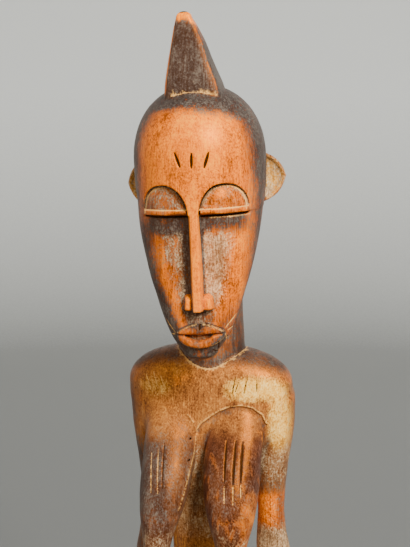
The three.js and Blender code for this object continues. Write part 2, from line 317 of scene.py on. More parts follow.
def cheek_scoop(x, z):
    """How deep the cheeks are scooped out beside the nose, and the lip under it."""
    beside = np.abs(x)
    cheek = SCOOP_DEPTH * ease(30, 8, beside) * (ease(-74, -40, z) * ease(6, 2, z))
    return cheek + UNDER_NOSE_DEPTH * ease(15, 8, beside) * ease(-90, -84, z) * ease(-75, -79, z)


# The nose
# A long straight ridge that comes down out of the forehead, flat on the front and square at the
# end, with a rounded block on each side for the nostrils.
NOSE = [
    [-76, 0, -50, 4.8, 15, 12],
    [-40, 0, -50, 4.5, 11.5, 12],
    [0, 0, -50, 4.2, 9.4, 12],
    [14, 0, -50, 4.8, 8, 12],
]
NOSTRIL = [[-74, 8, -50, 4.6, 9.8, 8], [-67, 7.6, -50, 4.4, 9.2, 8]]
nose = form(NOSE, square=4)
nostrils = [form(on_side(NOSTRIL, side), top=4, bottom=2, square=2.6) for side in (-1, 1)]


# The mouth
# Two full lips that stand out as rolls and meet in sharp corners, a little open between them,
# with a short cut down the middle of the upper one.
LIP_MIDDLE = 0.8
LIP_LEVEL = -94.5
LIP_HALF_WIDTH = 20.5
LIP_RISE = 4.3
MOUTH_MIDDLE = -0.5
MOUTH_HALF_WIDTH = 12.0
MOUTH_OPEN = 5.0
MOUTH_DEPTH = 1.8
NOTCH_DEPTH = 1.6
CLEFT_DEPTH = 1.6


def lip_edges(x):
    """The heights of the upper lip's top, the opening's top and bottom, and the lower lip's foot."""
    across = np.clip((x - LIP_MIDDLE) / LIP_HALF_WIDTH, -1, 1)
    notch = NOTCH_DEPTH * np.exp(-((across / 0.09) ** 2))
    upper = LIP_LEVEL + 8.2 * (1 - across**2) - notch
    lower = LIP_LEVEL - 1 - 12 * np.sqrt(1 - across**2)
    opening = np.clip(1 - ((x - MOUTH_MIDDLE) / MOUTH_HALF_WIDTH) ** 2, 0, 1)
    return upper, LIP_LEVEL - 1.1 - 0.2 * opening, LIP_LEVEL - 1.3 - MOUTH_OPEN * opening, lower


def lip_rise(x, z):
    """How far the lips stand out from the face."""
    upper, open_top, open_low, lower = lip_edges(x)
    beside = LIP_HALF_WIDTH - np.abs(x - LIP_MIDDLE)
    rolls = 0
    for high, low in ((upper, open_top), (open_low, lower)):
        middle = (high + low) / 2
        half = np.maximum((high - low) / 2, 0.4)
        rolls = rolls + np.clip(1 - np.abs((z - middle) / half) ** 4, 0, 1) ** 0.5
    mouth = MOUTH_DEPTH * ease(open_top, open_top - 0.8, z) * ease(open_low - 0.4, open_low + 0.4, z)
    cleft = CLEFT_DEPTH * ease(1.1, 0.3, np.abs(x - LIP_MIDDLE)) * ease(-91.5, -90, z) * ease(-85, -86.5, z)
    return (LIP_RISE * np.minimum(rolls, 1) - mouth) * ease(0, 2.5, beside) - cleft


# The crest
# A tall wedge on top of the head, flat in front, whose worn tip hooks to the figure's right.
CREST = [
    [84, 0, 0, 25.4, 27, 32],
    [104, -0.7, -2, 23.6, 25.5, 28],
    [128, -2.3, -7, 17.3, 20, 20],
    [142, -2.6, -11, 13.6, 15.5, 14],
    [154, -3.6, -15, 9.8, 11, 9],
    [163, -4.4, -18, 6.2, 7, 5],
]
crest = form([[70, 0, 0, 25.8, 27, 33], *CREST], top=5, square=6.5)


# The ears
# Pointed leaves that stand out from the sides of the skull, each hollowed out with a small gouge
# and left with a fine rim.
EAR_ROOT = -16.0
EAR_LENGTH = 24.0
EAR_LOW = -22.5
EAR_HIGH = 25.5
EAR_FULLNESS = 0.75
EAR_HALF_THICKNESS = 4.0
EAR_HOLLOW = 2.6
EAR_RIM = 2.4
EAR_WEAR = 1.2
EAR_TURN = radians(28)
EAR_PLACES = {-1: (-48.0, 33.0, 22.0), 1: (48.0, 33.0, 23.5)}


def ear_outline():
    """The leaf from its root to the tip and back, on two plain curves."""
    t = np.linspace(0, 1, 9)[:, None]
    tip = np.array([EAR_LENGTH, 1.0])
    belly = EAR_LENGTH * EAR_FULLNESS
    lower = (1 - t) ** 2 * [EAR_ROOT, EAR_LOW] + 2 * t * (1 - t) * [belly, EAR_LOW] + t**2 * tip
    upper = (1 - t) ** 2 * tip + 2 * t * (1 - t) * [belly, EAR_HIGH] + t**2 * [EAR_ROOT, EAR_HIGH]
    return np.concatenate([lower, upper[1:]])


def outline_distance(points, outline):
    """How far flat points are outside a closed outline."""
    nearest = np.full(len(points), np.inf)
    within = np.zeros(len(points), dtype=bool)
    for a, b in zip(outline, np.roll(outline, -1, axis=0)):
        edge = b - a
        along = np.clip(((points - a) @ edge) / (edge @ edge), 0, 1)
        away = points - a - along[:, None] * edge
        nearest = np.minimum(nearest, np.hypot(away[:, 0], away[:, 1]))
        crosses = (a[1] > points[:, 1]) != (b[1] > points[:, 1])
        if edge[1]:
            within ^= crosses & (points[:, 0] < a[0] + (points[:, 1] - a[1]) / edge[1] * edge[0])
    return np.where(within, -nearest, nearest)


def ear_frame(q, side):
    """A point in an ear's own frame: out from the skull, through its thickness, and up."""
    x, y, z = EAR_PLACES[side]
    out = (q[:, 0] - x) * side
    back = q[:, 1] - y
    from_skull = out * cos(EAR_TURN) + back * sin(EAR_TURN)
    through = back * cos(EAR_TURN) - out * sin(EAR_TURN)
    return np.stack([from_skull, through, q[:, 2] - z], axis=1)


def ear_outside(q, side):
    own = ear_frame(q, side)
    edge = outline_distance(own[:, [0, 2]], ear_outline())
    hollow = EAR_HOLLOW * ease(-EAR_RIM, -EAR_RIM - 1.6, edge) * ease(1.5, 4.5, own[:, 0])
    front = -EAR_HALF_THICKNESS + hollow - own[:, 1]
    back = own[:, 1] - EAR_HALF_THICKNESS
    return worn_edge(edge, np.maximum(front, back), EAR_WEAR)


# The whole head
# Skull, face, nose, crest and ears are one turning mass of wood, cut from the large forms to the
# small ones. Each meets the next in the narrow hollow that the gouge leaves.
HEAD_FILLET = 2.0
FAR = 60.0  # farther out than any form is measured


def head_local(p):
    """A point as it lies in the head before it is turned and put in place."""
    return (p - HEAD_PLACE) @ head_axes


def melt(a, b, fillet):
    """Two forms run together over a fillet, as a gouge leaves the corner between them."""
    mix = np.clip(0.5 + 0.5 * (a - b) / fillet, 0, 1)
    return a * (1 - mix) + b * mix - fillet * mix * (1 - mix)


def trim(a, b, edge):
    """What is left of a where b is cut away, with the edge worn that much."""
    return -melt(-a, b, edge)


def head_outside(p):
    """The whole head, in the order that it is cut."""
    q = head_local(p)
    x, y, z = q.T
    before = ease(-8, -16, y)
    arch = np.where(y < 0, eye_arch(x, z), FAR)
    made = trim(skull[0](q), arch, 0.6)
    made = melt(made, face[0](q) - before * (eye_rise(x, z) + lip_rise(x, z) - cheek_scoop(x, z)), 0.9)
    made = melt(made, nose[0](q), 0.7)
    for nostril in nostrils:
        made = melt(made, nostril[0](q), 0.6)
    made = melt(made, crest[0](q), 1.2)
    for side in (-1, 1):
        near = np.flatnonzero((x * side > 28) & (y > 2) & (np.abs(z - EAR_PLACES[side][2]) < 34))
        made[near] = melt(made[near], ear_outside(q[near], side), 1.5)
    return made


head_box = (np.array([-85.0, -112.0, 688.0]), np.array([90.0, 32.0, 982.0]))
forms.append(((head_outside, *head_box), HEAD_FILLET))


# The knife marks
# Scars cut with the point of a small knife once the forms were smooth. Each has two ends on the
# front of the figure, a width, a depth, and a tone: dark with old dirt, or light with bare wood.
HEAD_MARKS = [
    ((-13.2, 55.4), (-8.6, 42), 3.0, 1.8, "dark"),
    ((1.1, 54.6), (0.5, 41), 3.0, 1.8, "dark"),
    ((15.0, 54.6), (10.6, 41), 3.0, 1.8, "dark"),
    ((20.5, -92.5), (30, -82), 1.0, 0.8, "light"),
    ((21.5, -95), (27.5, -92.6), 1.0, 0.8, "light"),
    ((21, -97), (20.5, -107), 1.0, 0.8, "light"),
    ((-20.5, -95.4), (-30, -84), 1.0, 0.8, "light"),
    ((-21, -96), (-27, -97.5), 1.0, 0.7, "light"),
    ((15.5, -101), (14, -111), 1.2, 0.8, "dark"),
    ((9, -109), (14.5, -114), 1.2, 0.8, "dark"),
]
BODY_MARKS = [
    ((-55.5, 661), (-49.2, 644), 1.7, 0.6, "light"),
    ((-48.3, 664), (-43.3, 648), 1.7, 0.6, "light"),
    ((-41, 661), (-36.5, 649), 1.5, 0.5, "light"),
    ((27.8, 663), (25.1, 647), 1.3, 0.5, "dark"),
    ((31, 659), (27.7, 649), 1.2, 0.4, "dark"),
    ((38.3, 664), (35.6, 648), 1.3, 0.5, "dark"),
    ((46.4, 662), (46.5, 648), 1.2, 0.4, "dark"),
    ((67.6, 648), (67.4, 627), 1.5, 0.5, "light"),
    ((23.2, 610), (25.4, 576), 2.6, 1.2, "dark"),
    ((31.4, 611), (33.0, 574), 2.6, 1.2, "dark"),
    ((37.6, 610), (39.4, 576), 2.4, 1.1, "dark"),
    ((25.4, 576), (26.6, 560), 1.2, 0.9, "light"),
    ((33.0, 576), (34.2, 559), 1.2, 0.9, "light"),
    ((39.3, 577), (40.2, 565), 1.2, 0.9, "light"),
    ((-43.3, 598), (-39.3, 564), 1.1, 0.9, "light"),
    ((-37.2, 602), (-33.0, 564), 1.1, 0.9, "light"),
    ((-32.4, 606), (-29.0, 568), 1.4, 1.0, "dark"),
    ((-12.4, 606), (-10.8, 606), 2.2, 2.2, "dark"),
    ((-11.6, 589), (-10.0, 589), 2.2, 2.2, "dark"),
]
for side in (-1, 1):
    for step in (-5.0, 0.0, 5.0):
        BODY_MARKS.append(((side * (43 + step), 350), (side * (46 + step), 382), 1.8, 1.3, "dark"))


def segment_gap(x, z, start, end):
    """How far a point of the front is from the straight line between two others."""
    (ax, az), (bx, bz) = start, end
    along = np.clip(((x - ax) * (bx - ax) + (z - az) * (bz - az)) / hypot(bx - ax, bz - az) ** 2, 0, 1)
    return np.hypot(x - ax - along * (bx - ax), z - az - along * (bz - az))


def knife_cuts(x, z, marks, tone=None):
    """How deep the marks go at a point, or how full of that tone it is."""
    made = np.zeros(len(x))
    for (ax, az), (bx, bz), width, depth, colour in marks:
        if tone and colour != tone:
            continue
        length = hypot(bx - ax, bz - az)
        near = (x > min(ax, bx) - width) & (x < max(ax, bx) + width)
        near &= (z > min(az, bz) - width) & (z < max(az, bz) + width)
        near = np.flatnonzero(near)
        along = ((x[near] - ax) * (bx - ax) + (z[near] - az) * (bz - az)) / length**2
        off = np.abs((x[near] - ax) * (bz - az) - (z[near] - az) * (bx - ax)) / length
        leaf = np.clip(1 - (2 * along - 1) ** 2, 0, 1)
        half = np.maximum(width / 2 * (leaf**0.6 if length > 2 * width else leaf**0.5), 0.05)
        cut = np.clip(1 - off / half, 0, 1) * ease(0, 0.2, leaf)
        full = np.minimum(cut * 2.2, 1) if tone else np.minimum(cut * 1.5, 1) * depth
        made[near] = np.maximum(made[near], full)
    return made


def near_marks(x, z, marks, reach):
    """Whether a point is that close to a mark."""
    made = np.zeros(len(x), dtype=bool)
    for start, end, *_ in marks:
        made |= segment_gap(x, z, start, end) < reach
    return made


def along_path(x, z, path):
    """How far a point of the front is from a path, and on which side: 1 is left of its course."""
    nearest = np.full(len(x), np.inf)
    side_of = np.ones(len(x))
    for (ax, az), (bx, bz) in zip(path, path[1:]):
        gap = segment_gap(x, z, (ax, az), (bx, bz))
        over = (bx - ax) * (z - az) - (bz - az) * (x - ax)
        side_of = np.where(gap < nearest, np.sign(over), side_of)
        nearest = np.minimum(nearest, gap)
    return nearest, side_of


# The gouged edges of the chest
# The top of the left breast is let in under a curved edge, and the right one ends at a sharp
# ridge beside the breastbone, both left by the gouge.
BREAST_EDGE = [(-6, 614), (-2, 619.5), (6, 626), (14, 631.6), (24, 636)]
BREAST_EDGE += [(34, 637), (43, 635), (51, 628.5), (54, 621)]
CHEST_RIDGE = [(-15, 628), (-9.5, 621), (-6.3, 613), (-7.5, 596)]
CHEST_RIDGE += [(-9.4, 579), (-11.5, 565), (-15.5, 549)]
EDGE_STEP = 1.7
EDGE_LIP = 0.5
RIDGE_HEIGHT = 0.7
RIDGE_HALF_WIDTH = 1.6


def chest_cut(p):
    """How deep the chest is cut away at the two edges, or below 0 how far it stands out."""
    x, y, z = p.T
    gap, over = along_path(x, z, BREAST_EDGE)
    let_in = EDGE_STEP * ease(8, 0.5, gap) * ease(-0.4, 0.8, -over * gap)
    lip = EDGE_LIP * ease(2.2, 0.4, gap) * (over > 0)
    ridge_gap = along_path(x, z, CHEST_RIDGE)[0]
    ridge = RIDGE_HEIGHT * np.maximum(1 - ridge_gap / RIDGE_HALF_WIDTH, 0)
    return ease(-14, -22, y) * ((let_in - lip) * (x > -8) - ridge)


# The adzed skin
# All the forms run together in the order that they are cut. Groove, toes and knife marks are sunk
# into them, and the adze leaves the wood a little uneven, most of all low down.
NEAR_A_FORM = 14.0
SKIN = 9.0  # the forms are dressed this far to both sides of their surface
BODY_FRONT = -8.0
FACE_FRONT = -55.0
FOOT_FRONT = -36.0
HAND_LEVEL = 345.0
CHEST_LEVEL = 540.0
COLLAR_LEVEL = 676.0
CHIN_LEVEL = 690.0
NECK_GROOVE = 0.9
TOE_CUTS = (-8.5, -1.5, 5.0)
TOE_CUT_DEPTH = 1.6
FOOT_MIDDLE = 31.0
NOISE_CELLS = 32
CUBE_CORNERS = list(product((0, 1), repeat=3))


def lattice_noise(p, size, seed):
    """Soft uneven values between -1 and 1, about that many millimetres from hill to hollow."""
    grid = np.random.default_rng(seed).uniform(-1, 1, (NOISE_CELLS, NOISE_CELLS, NOISE_CELLS))
    place = p / size
    low = np.floor(place).astype(int)
    t = place - low
    t = t * t * (3 - 2 * t)
    shares = (1 - t, t)
    made = 0.0
    for i, j, k in CUBE_CORNERS:
        weight = shares[i][:, 0] * shares[j][:, 1] * shares[k][:, 2]
        made = made + weight * grid[tuple(((low + (i, j, k)) % NOISE_CELLS).T)]
    return made


def figure_outside(p):
    """How far each point is outside the finished figure."""
    made = np.full(len(p), FAR)
    for (outside, low, high), fillet in forms:
        near = np.flatnonzero(((p > low - NEAR_A_FORM) & (p < high + NEAR_A_FORM)).all(axis=1))
        if len(near):
            made[near] = melt(made[near], outside(p[near]), fillet)
    skin = np.flatnonzero(np.abs(made) < SKIN)
    q = p[skin]
    x, y, z = q.T
    dip = np.zeros(len(skin))
    body = np.flatnonzero((y < BODY_FRONT) & (z < COLLAR_LEVEL) & (z > HAND_LEVEL))
    dip[body] += knife_cuts(x[body], z[body], BODY_MARKS)
    chest = np.flatnonzero((y < BODY_FRONT) & (z > 520) & (z < 645))
    dip[chest] += chest_cut(q[chest])
    collar = np.flatnonzero((z > 662) & (z < 692) & (y > -45))
    out = neck[0](q[collar])
    dip[collar] += NECK_GROOVE * ease(-0.4, 0.5, out) * ease(1.9, 1.0, out)
    toes = np.flatnonzero((y < FOOT_FRONT) & (z > 71) & (z < 105))
    for cut in TOE_CUTS:
        gap = np.abs(np.abs(x[toes]) - FOOT_MIDDLE - cut)
        dip[toes] += TOE_CUT_DEPTH * ease(1.4, 0.3, gap) * ease(FOOT_FRONT, FOOT_FRONT - 6, y[toes])
    head = np.flatnonzero((y < FACE_FRONT) & (z > CHIN_LEVEL))
    local = head_local(q[head])
    dip[head] += knife_cuts(local[:, 0], local[:, 2], HEAD_MARKS)
    rough_below = ease(700, 520, z)
    above_ground = ease(0, 6, z)
    dip += above_ground * (0.10 + 0.28 * rough_below) * lattice_noise(q * [1, 1, 0.45], 5.0, 3)
    dip += above_ground * (0.10 + 0.25 * rough_below) * lattice_noise(q * [1, 1, 0.6], 13.0, 4)
    made[skin] += dip
    return made


# The finished surface
# The skin of the block as the eye meets it. It is found on a lattice through the block, finer
# where the photo comes close, and is then thinned where the wood is smooth.
FINE = 0.8
BACK_FROM, BACK_STEP = 20.0, 1.6
LEGS_TO, LEGS_STEP = 490.0, 2.0
COARSE = 4.0
BAND = 5.0
BLOCK_LOW = np.array([-104.0, -114.0, -4.0])
BLOCK_HIGH = np.array([104.0, 104.0, 984.0])


def in_parts(work, points, size=150000):
    """Works through many points at once, in parts that fit the machine."""
    parts = [points[i : i + size] for i in range(0, len(points), size)]
    with ThreadPoolExecutor(4) as pool:
        return np.concatenate(list(pool.map(work, parts)))


def lattice_axes():
    x = np.arange(BLOCK_LOW[0], BLOCK_HIGH[0] + FINE, FINE)
    front = np.arange(BLOCK_LOW[1], BACK_FROM, FINE)
    back = np.arange(BACK_FROM, BLOCK_HIGH[1] + BACK_STEP, BACK_STEP)
    low = np.arange(BLOCK_LOW[2], LEGS_TO, LEGS_STEP)
    high = np.arange(LEGS_TO, BLOCK_HIGH[2] + FINE, FINE)
    return x, np.concatenate([front, back]), np.concatenate([low, high])


def figure_lattice(axes):
    """The distance at every point of the lattice near the surface, and only its sign elsewhere."""
    ends = zip(BLOCK_LOW - COARSE, BLOCK_HIGH + COARSE)
    rough_axes = [np.arange(low, high + COARSE, COARSE) for low, high in ends]
    rough_points = np.stack(np.meshgrid(*rough_axes, indexing="ij"), axis=-1).reshape(-1, 3)
    shape = [len(a) for a in rough_axes]
    rough = in_parts(figure_outside, rough_points).reshape(shape)
    least = rough[:-1, :-1, :-1].copy()
    most = least.copy()
    for i, j, k in CUBE_CORNERS:
        corner = rough[i : shape[0] - 1 + i, j : shape[1] - 1 + j, k : shape[2] - 1 + k]
        np.minimum(least, corner, out=least)
        np.maximum(most, corner, out=most)
    active = (least < BAND) & (most > -BAND)
    cells = [np.floor((a - r[0]) / COARSE).astype(int) for a, r in zip(axes, rough_axes)]
    picked = np.ix_(*cells)
    field = np.where(rough[:-1, :-1, :-1] < 0, np.float32(-BAND), np.float32(BAND))[picked]
    spots = np.flatnonzero(active[picked])
    i, j, k = np.unravel_index(spots, field.shape)
    points = np.stack([axes[0][i], axes[1][j], axes[2][k]], axis=1)
    field.reshape(-1)[spots] = in_parts(figure_outside, points)
    return field


def lattice_surface(field, axes):
    """One corner in each cell that the surface passes through, joined into four-sided faces."""
    inside = field < 0
    shape = [n - 1 for n in field.shape]
    count = np.zeros(shape, dtype=np.uint8)
    for i, j, k in CUBE_CORNERS:
        count += inside[i : shape[0] + i, j : shape[1] + j, k : shape[2] + k]
    mixed = (count > 0) & (count < 8)
    cell = np.stack(np.nonzero(mixed), axis=1)
    number = np.full(shape, -1, dtype=np.int32)
    number[mixed] = np.arange(len(cell))
    total = np.zeros((len(cell), 3))
    hits = np.zeros(len(cell))
    for axis in range(3):
        others = [n for n in range(3) if n != axis]
        for step in product((0, 1), repeat=2):
            start = cell.copy()
            start[:, others] += step
            end = start.copy()
            end[:, axis] += 1
            a = field[tuple(start.T)]
            b = field[tuple(end.T)]
            crossed = np.flatnonzero((a < 0) != (b < 0))
            t = a[crossed] / (a[crossed] - b[crossed])
            for n in range(3):
                place = axes[n][start[crossed, n]]
                total[crossed, n] += place + t * (axes[n][end[crossed, n]] - place)
            hits[crossed] += 1
    corners = total / hits[:, None]

    faces = []
    for axis, across in enumerate(([1, 2], [2, 0], [0, 1])):
        low = [slice(1, -1)] * 3
        high = list(low)
        low[axis] = slice(0, -1)
        high[axis] = slice(1, None)
        first = inside[tuple(low)]
        edge = np.stack(np.nonzero(first != inside[tuple(high)]), axis=1)
        leaves = first[tuple(edge.T)]
        edge[:, across] += 1
        around = []
        for step in ((-1, -1), (0, -1), (0, 0), (-1, 0)):
            beside = edge.copy()
            beside[:, across] += step
            around.append(number[tuple(beside.T)])
        ring = np.stack(around, axis=1)
        ring[~leaves] = ring[~leaves][:, ::-1]
        faces.append(ring)
    return corners, np.concatenate(faces)


def new_object(name, data):
    """An object in the scene that is made of that data."""
    made = bpy.data.objects.new(name, data)
    bpy.context.scene.collection.objects.link(made)
    return made


def mesh_object(name, corners, faces):
    mesh = bpy.data.meshes.new(name)
    mesh.vertices.add(len(corners))
    mesh.vertices.foreach_set("co", np.asarray(corners, dtype=np.float32).ravel())
    mesh.loops.add(faces.size)
    mesh.loops.foreach_set("vertex_index", faces.astype(np.int32).ravel())
    mesh.polygons.add(len(faces))
    starts = np.arange(0, faces.size, faces.shape[1], dtype=np.int32)
    mesh.polygons.foreach_set("loop_start", starts)
    mesh.update(calc_edges=True)
    mesh.validate()
    return new_object(name, mesh)


def listed(items, what, size, kind=np.float32):
    """One value of every item, in rows of that size."""
    values = np.empty(size * len(items), dtype=kind)
    items.foreach_get(what, values)
    return values.reshape(-1, size)


axes = lattice_axes()
field = figure_lattice(axes)
corners, faces = lattice_surface(field, axes)
del field

# Corners go first where the photo doesn't look, later in front above the waist, and last on the
# head. The middle of the face and the strips around marks and edges are never thinned.
TRIANGLES = 190000
LEVELS = 10
dense = mesh_object("dense_figure", corners, faces)
cx, cy, cz = corners.T
seen = ease(480, 500, cz) * ease(12, -2, cy) * (0.6 + 0.4 * ease(700, 715, cz))
spare = np.round(LEVELS - 8 * seen).astype(int)
fx, fy, fz = head_local(corners).T
keep = (fy < -26) & (fz > -112) & (fz < 31) & (np.abs(fx) < 47)
keep |= (fy < -45) & near_marks(fx, fz, HEAD_MARKS, 3.0)
marked = (cy < BODY_FRONT) & (cz < COLLAR_LEVEL) & (cz > CHEST_LEVEL)
keep |= marked & near_marks(cx, cz, BODY_MARKS, 2.2)
for path in (BREAST_EDGE, CHEST_RIDGE):
    keep |= (cy < -14) & (cz < 645) & (cz > CHEST_LEVEL) & (along_path(cx, cz, path)[0] < 2.2)
spare[keep] = 0
group = dense.vertex_groups.new(name="thinnable")
for level in range(1, LEVELS + 1):
    group.add(np.flatnonzero(spare == level).tolist(), level / LEVELS, "REPLACE")
thin = dense.modifiers.new("thin", "DECIMATE")
thin.ratio = TRIANGLES / (2 * len(faces))
thin.vertex_group = "thinnable"
thin.vertex_group_factor = 0.0006
thin.use_collapse_triangulate = True
bpy.context.view_layer.update()
finished = dense.evaluated_get(bpy.context.evaluated_depsgraph_get())
thinned = bpy.data.meshes.new_from_object(finished)
thinned.name = "carved_figure"
thinned.validate()
place = listed(thinned.vertices, "co", 3)
thinned.vertices.foreach_set("co", place.ravel() / 1000)
carved = new_object("carved_figure", thinned)
bpy.data.objects.remove(dense)
thinned.shade_smooth()


# Where the wood is worn, dirty and dry, and where light and shade are painted
# A century of hands has rubbed the proud parts bright, while soot, oil and dust have stayed in
# the hollows, on the crown and on top of the shoulders. Some tones also carry painted shade on
# the sides and under the forms that turn from the light, and painted highlights where it falls.
# Each tone is a strength from 0 to 1 at each point, and fades in between the two places, in
# millimetres, that ease is given.
spots = place.astype(float)
normals = listed(thinned.vertex_normals, "vector", 3).astype(float)
sides = listed(thinned.edges, "vertices", 2, np.int32)
joins = np.bincount(sides.ravel(), minlength=len(spots))


def hollowness(rounds):
    """How far the smoothed surface lies outside each point: above 0 in hollows, below on edges."""
    smooth = spots.copy()
    for _ in range(rounds):
        total = np.zeros_like(smooth)
        for n in range(3):
            total[:, n] = np.bincount(sides[:, 0], smooth[sides[:, 1], n], len(spots))
            total[:, n] += np.bincount(sides[:, 1], smooth[sides[:, 0], n], len(spots))
        smooth = total / joins[:, None]
    return ((smooth - spots) * normals).sum(axis=1)


def laid_on(*parts):
    """Parts of one tone laid over each other, up to its full strength."""
    return np.clip(sum(parts), 0, 1)


def drawn(gap, outer, inner):
    """A line where the gap from its middle is small: solid within inner, gone beyond outer."""
    return ease(outer, inner, gap)


# First the parts of the figure that the tones follow, each 1 on the part and 0 off it.
fine_hollow = hollowness(rounds=3)
wide_hollow = hollowness(rounds=30)
x, y, z = spots.T
own = head_local(spots)
hx, hy, hz = own.T
wide = np.abs(hx)
facing_left = (normals @ head_axes)[:, 0]
upward = ease(0.35, 0.85, normals[:, 2])
neck_gap = neck[0](spots)

# The head ends where the neck and the shoulders begin.
on_head = ease(689, 692, z) * ((hy < 20) | (hz > -95))
on_head = on_head * (1 - (neck_gap < 0.8) * (hz < -20))
on_neck = (1 - on_head) * ease(668, 676, z) * ease(2.5, 0.5, neck_gap)
front_face = on_head * ease(-10, -30, hy)
above_skull = skull[0](own)
crest_gap = crest[0](own)
in_crest = on_head * ease(3.0, 1.0, crest_gap) * ease(0.6, 1.6, above_skull) * (hz > 88)
arch = eye_arch(hx, hz)
in_eye = front_face * ease(0.6, -0.6, arch) * ease(2.4, 3.4, hz)
bar = in_eye * ease(EYE_LINE + BAR_HEIGHT + 0.3, EYE_LINE + BAR_HEIGHT - 0.5, hz)
lid = in_eye - bar
ear = np.zeros(len(spots))
ear_hollow = np.zeros(len(spots))
for side in (-1, 1):
    leaf = ear_frame(own, side)
    stands_out = on_head * ease(2, 4, leaf[:, 0]) * (hx * side > 50)
    from_edge = outline_distance(leaf[:, [0, 2]], ear_outline())
    within = ease(-1.9, -3.0, from_edge) * (leaf[:, 1] < 0)
    ear = np.maximum(ear, stands_out)
    ear_hollow = np.maximum(ear_hollow, stands_out * within)
ear_rim = ear * (1 - ear_hollow)
skull_part = on_head * (1 - in_crest) * (1 - ear)

# The nose has a flat front, which leans forward, and the wings beside its end.
nose_front = hy + 0.09 * np.clip(hz, -60, 0)
nostril_gap = np.minimum(nostrils[0][0](own), nostrils[1][0](own))
on_ridge = (hz > -77.5) * ease(24, 8, hz) * ease(5.4, 4.4, wide) * ease(-52, -54.5, nose_front)
on_wings = (hz > -78) * (hz < -60) * ease(0.9, 0.4, nostril_gap)
on_nose = front_face * np.maximum(on_ridge, on_wings)
beside_nose = front_face * ease(2.5, 1.5, hz) * ease(-84, -70, hz) * (1 - on_nose)
right_cheek = beside_nose * (hx < 0)
left_cheek = beside_nose * (hx > 0)
# The dust on the cheeks reaches less far out from the nose the lower it lies.
dust_edge = np.interp(hz, [-80, -68, -52, -36, -19, -4], [13, 17, 21, 25, 28, 29])

lip_top, open_top, open_low, lip_foot = lip_edges(hx)
from_cleft = np.abs(hx - LIP_MIDDLE)
around_mouth = front_face * (from_cleft < LIP_HALF_WIDTH) * (hz < lip_top + 0.5) * (hz > lip_foot - 0.5)
in_mouth = around_mouth * ease(open_top + 0.4, open_top - 0.6, hz) * ease(open_low - 0.6, open_low + 0.4, hz)
in_lips = around_mouth * (1 - in_mouth)
off_lips = front_face * (1 - in_lips)

body = 1 - on_head
trunk_skin = body * (1 - on_neck)
breast_gap, breast_side = along_path(x, z, BREAST_EDGE)
ridge_gap, _ = along_path(x, z, CHEST_RIDGE)
chest_front = body * ease(-8, -20, y) * ease(500, 520, z)
either_breast = np.minimum(breasts[0][0](spots), breasts[1][0](spots))
in_breast = body * (z < 640) * (z > 495) * ease(3.0, 1.0, either_breast)
right_breast = in_breast * (x < 0)
left_breast = in_breast * (x > 0)
inner_breast = right_breast * ease(-27, -18, x)
off_breast = body * (1 - in_breast)
breastbone = chest_front * (1 - in_breast)
arm_side = off_breast * ease(41, 46, np.abs(x)) * ease(640, 615, z) * (z > 350)
left_arm = arm_side * (x > 0)
right_arm = arm_side - left_arm
arm_glow = left_arm * ease(555, 548, z) * ease(510, 522, z)


def patch(points, middle, reach):
    """How full a soft round patch on the front is, in the plane of the marks."""
    away = np.hypot((points[:, 0] - middle[0]) / reach[0], (points[:, 2] - middle[1]) / reach[1])
    return ease(1.0, 0.3, away) * ease(5, -5, y)


# The crest is bare on its worn edges and its tip, and crusted on its flat front.
crest_left = in_crest * ease(-0.58, -0.8, facing_left) * ease(-0.99, -0.93, facing_left)
crest_right = in_crest * ease(0.25, 0.5, facing_left)
crest_ridge = crest_right * ease(0.4, 0.6, facing_left) * ease(0.93, 0.78, facing_left)
crest_tip = in_crest * ease(155, 160, hz + 0.3 * hx)
worn_upward = 0.12 + 0.4 * ease(125, 158, hz)
crest_bare = np.maximum.reduce([crest_left * 0.9, crest_right * worn_upward, crest_ridge * 0.6, crest_tip])
crest_crust = in_crest * (1 - crest_bare)
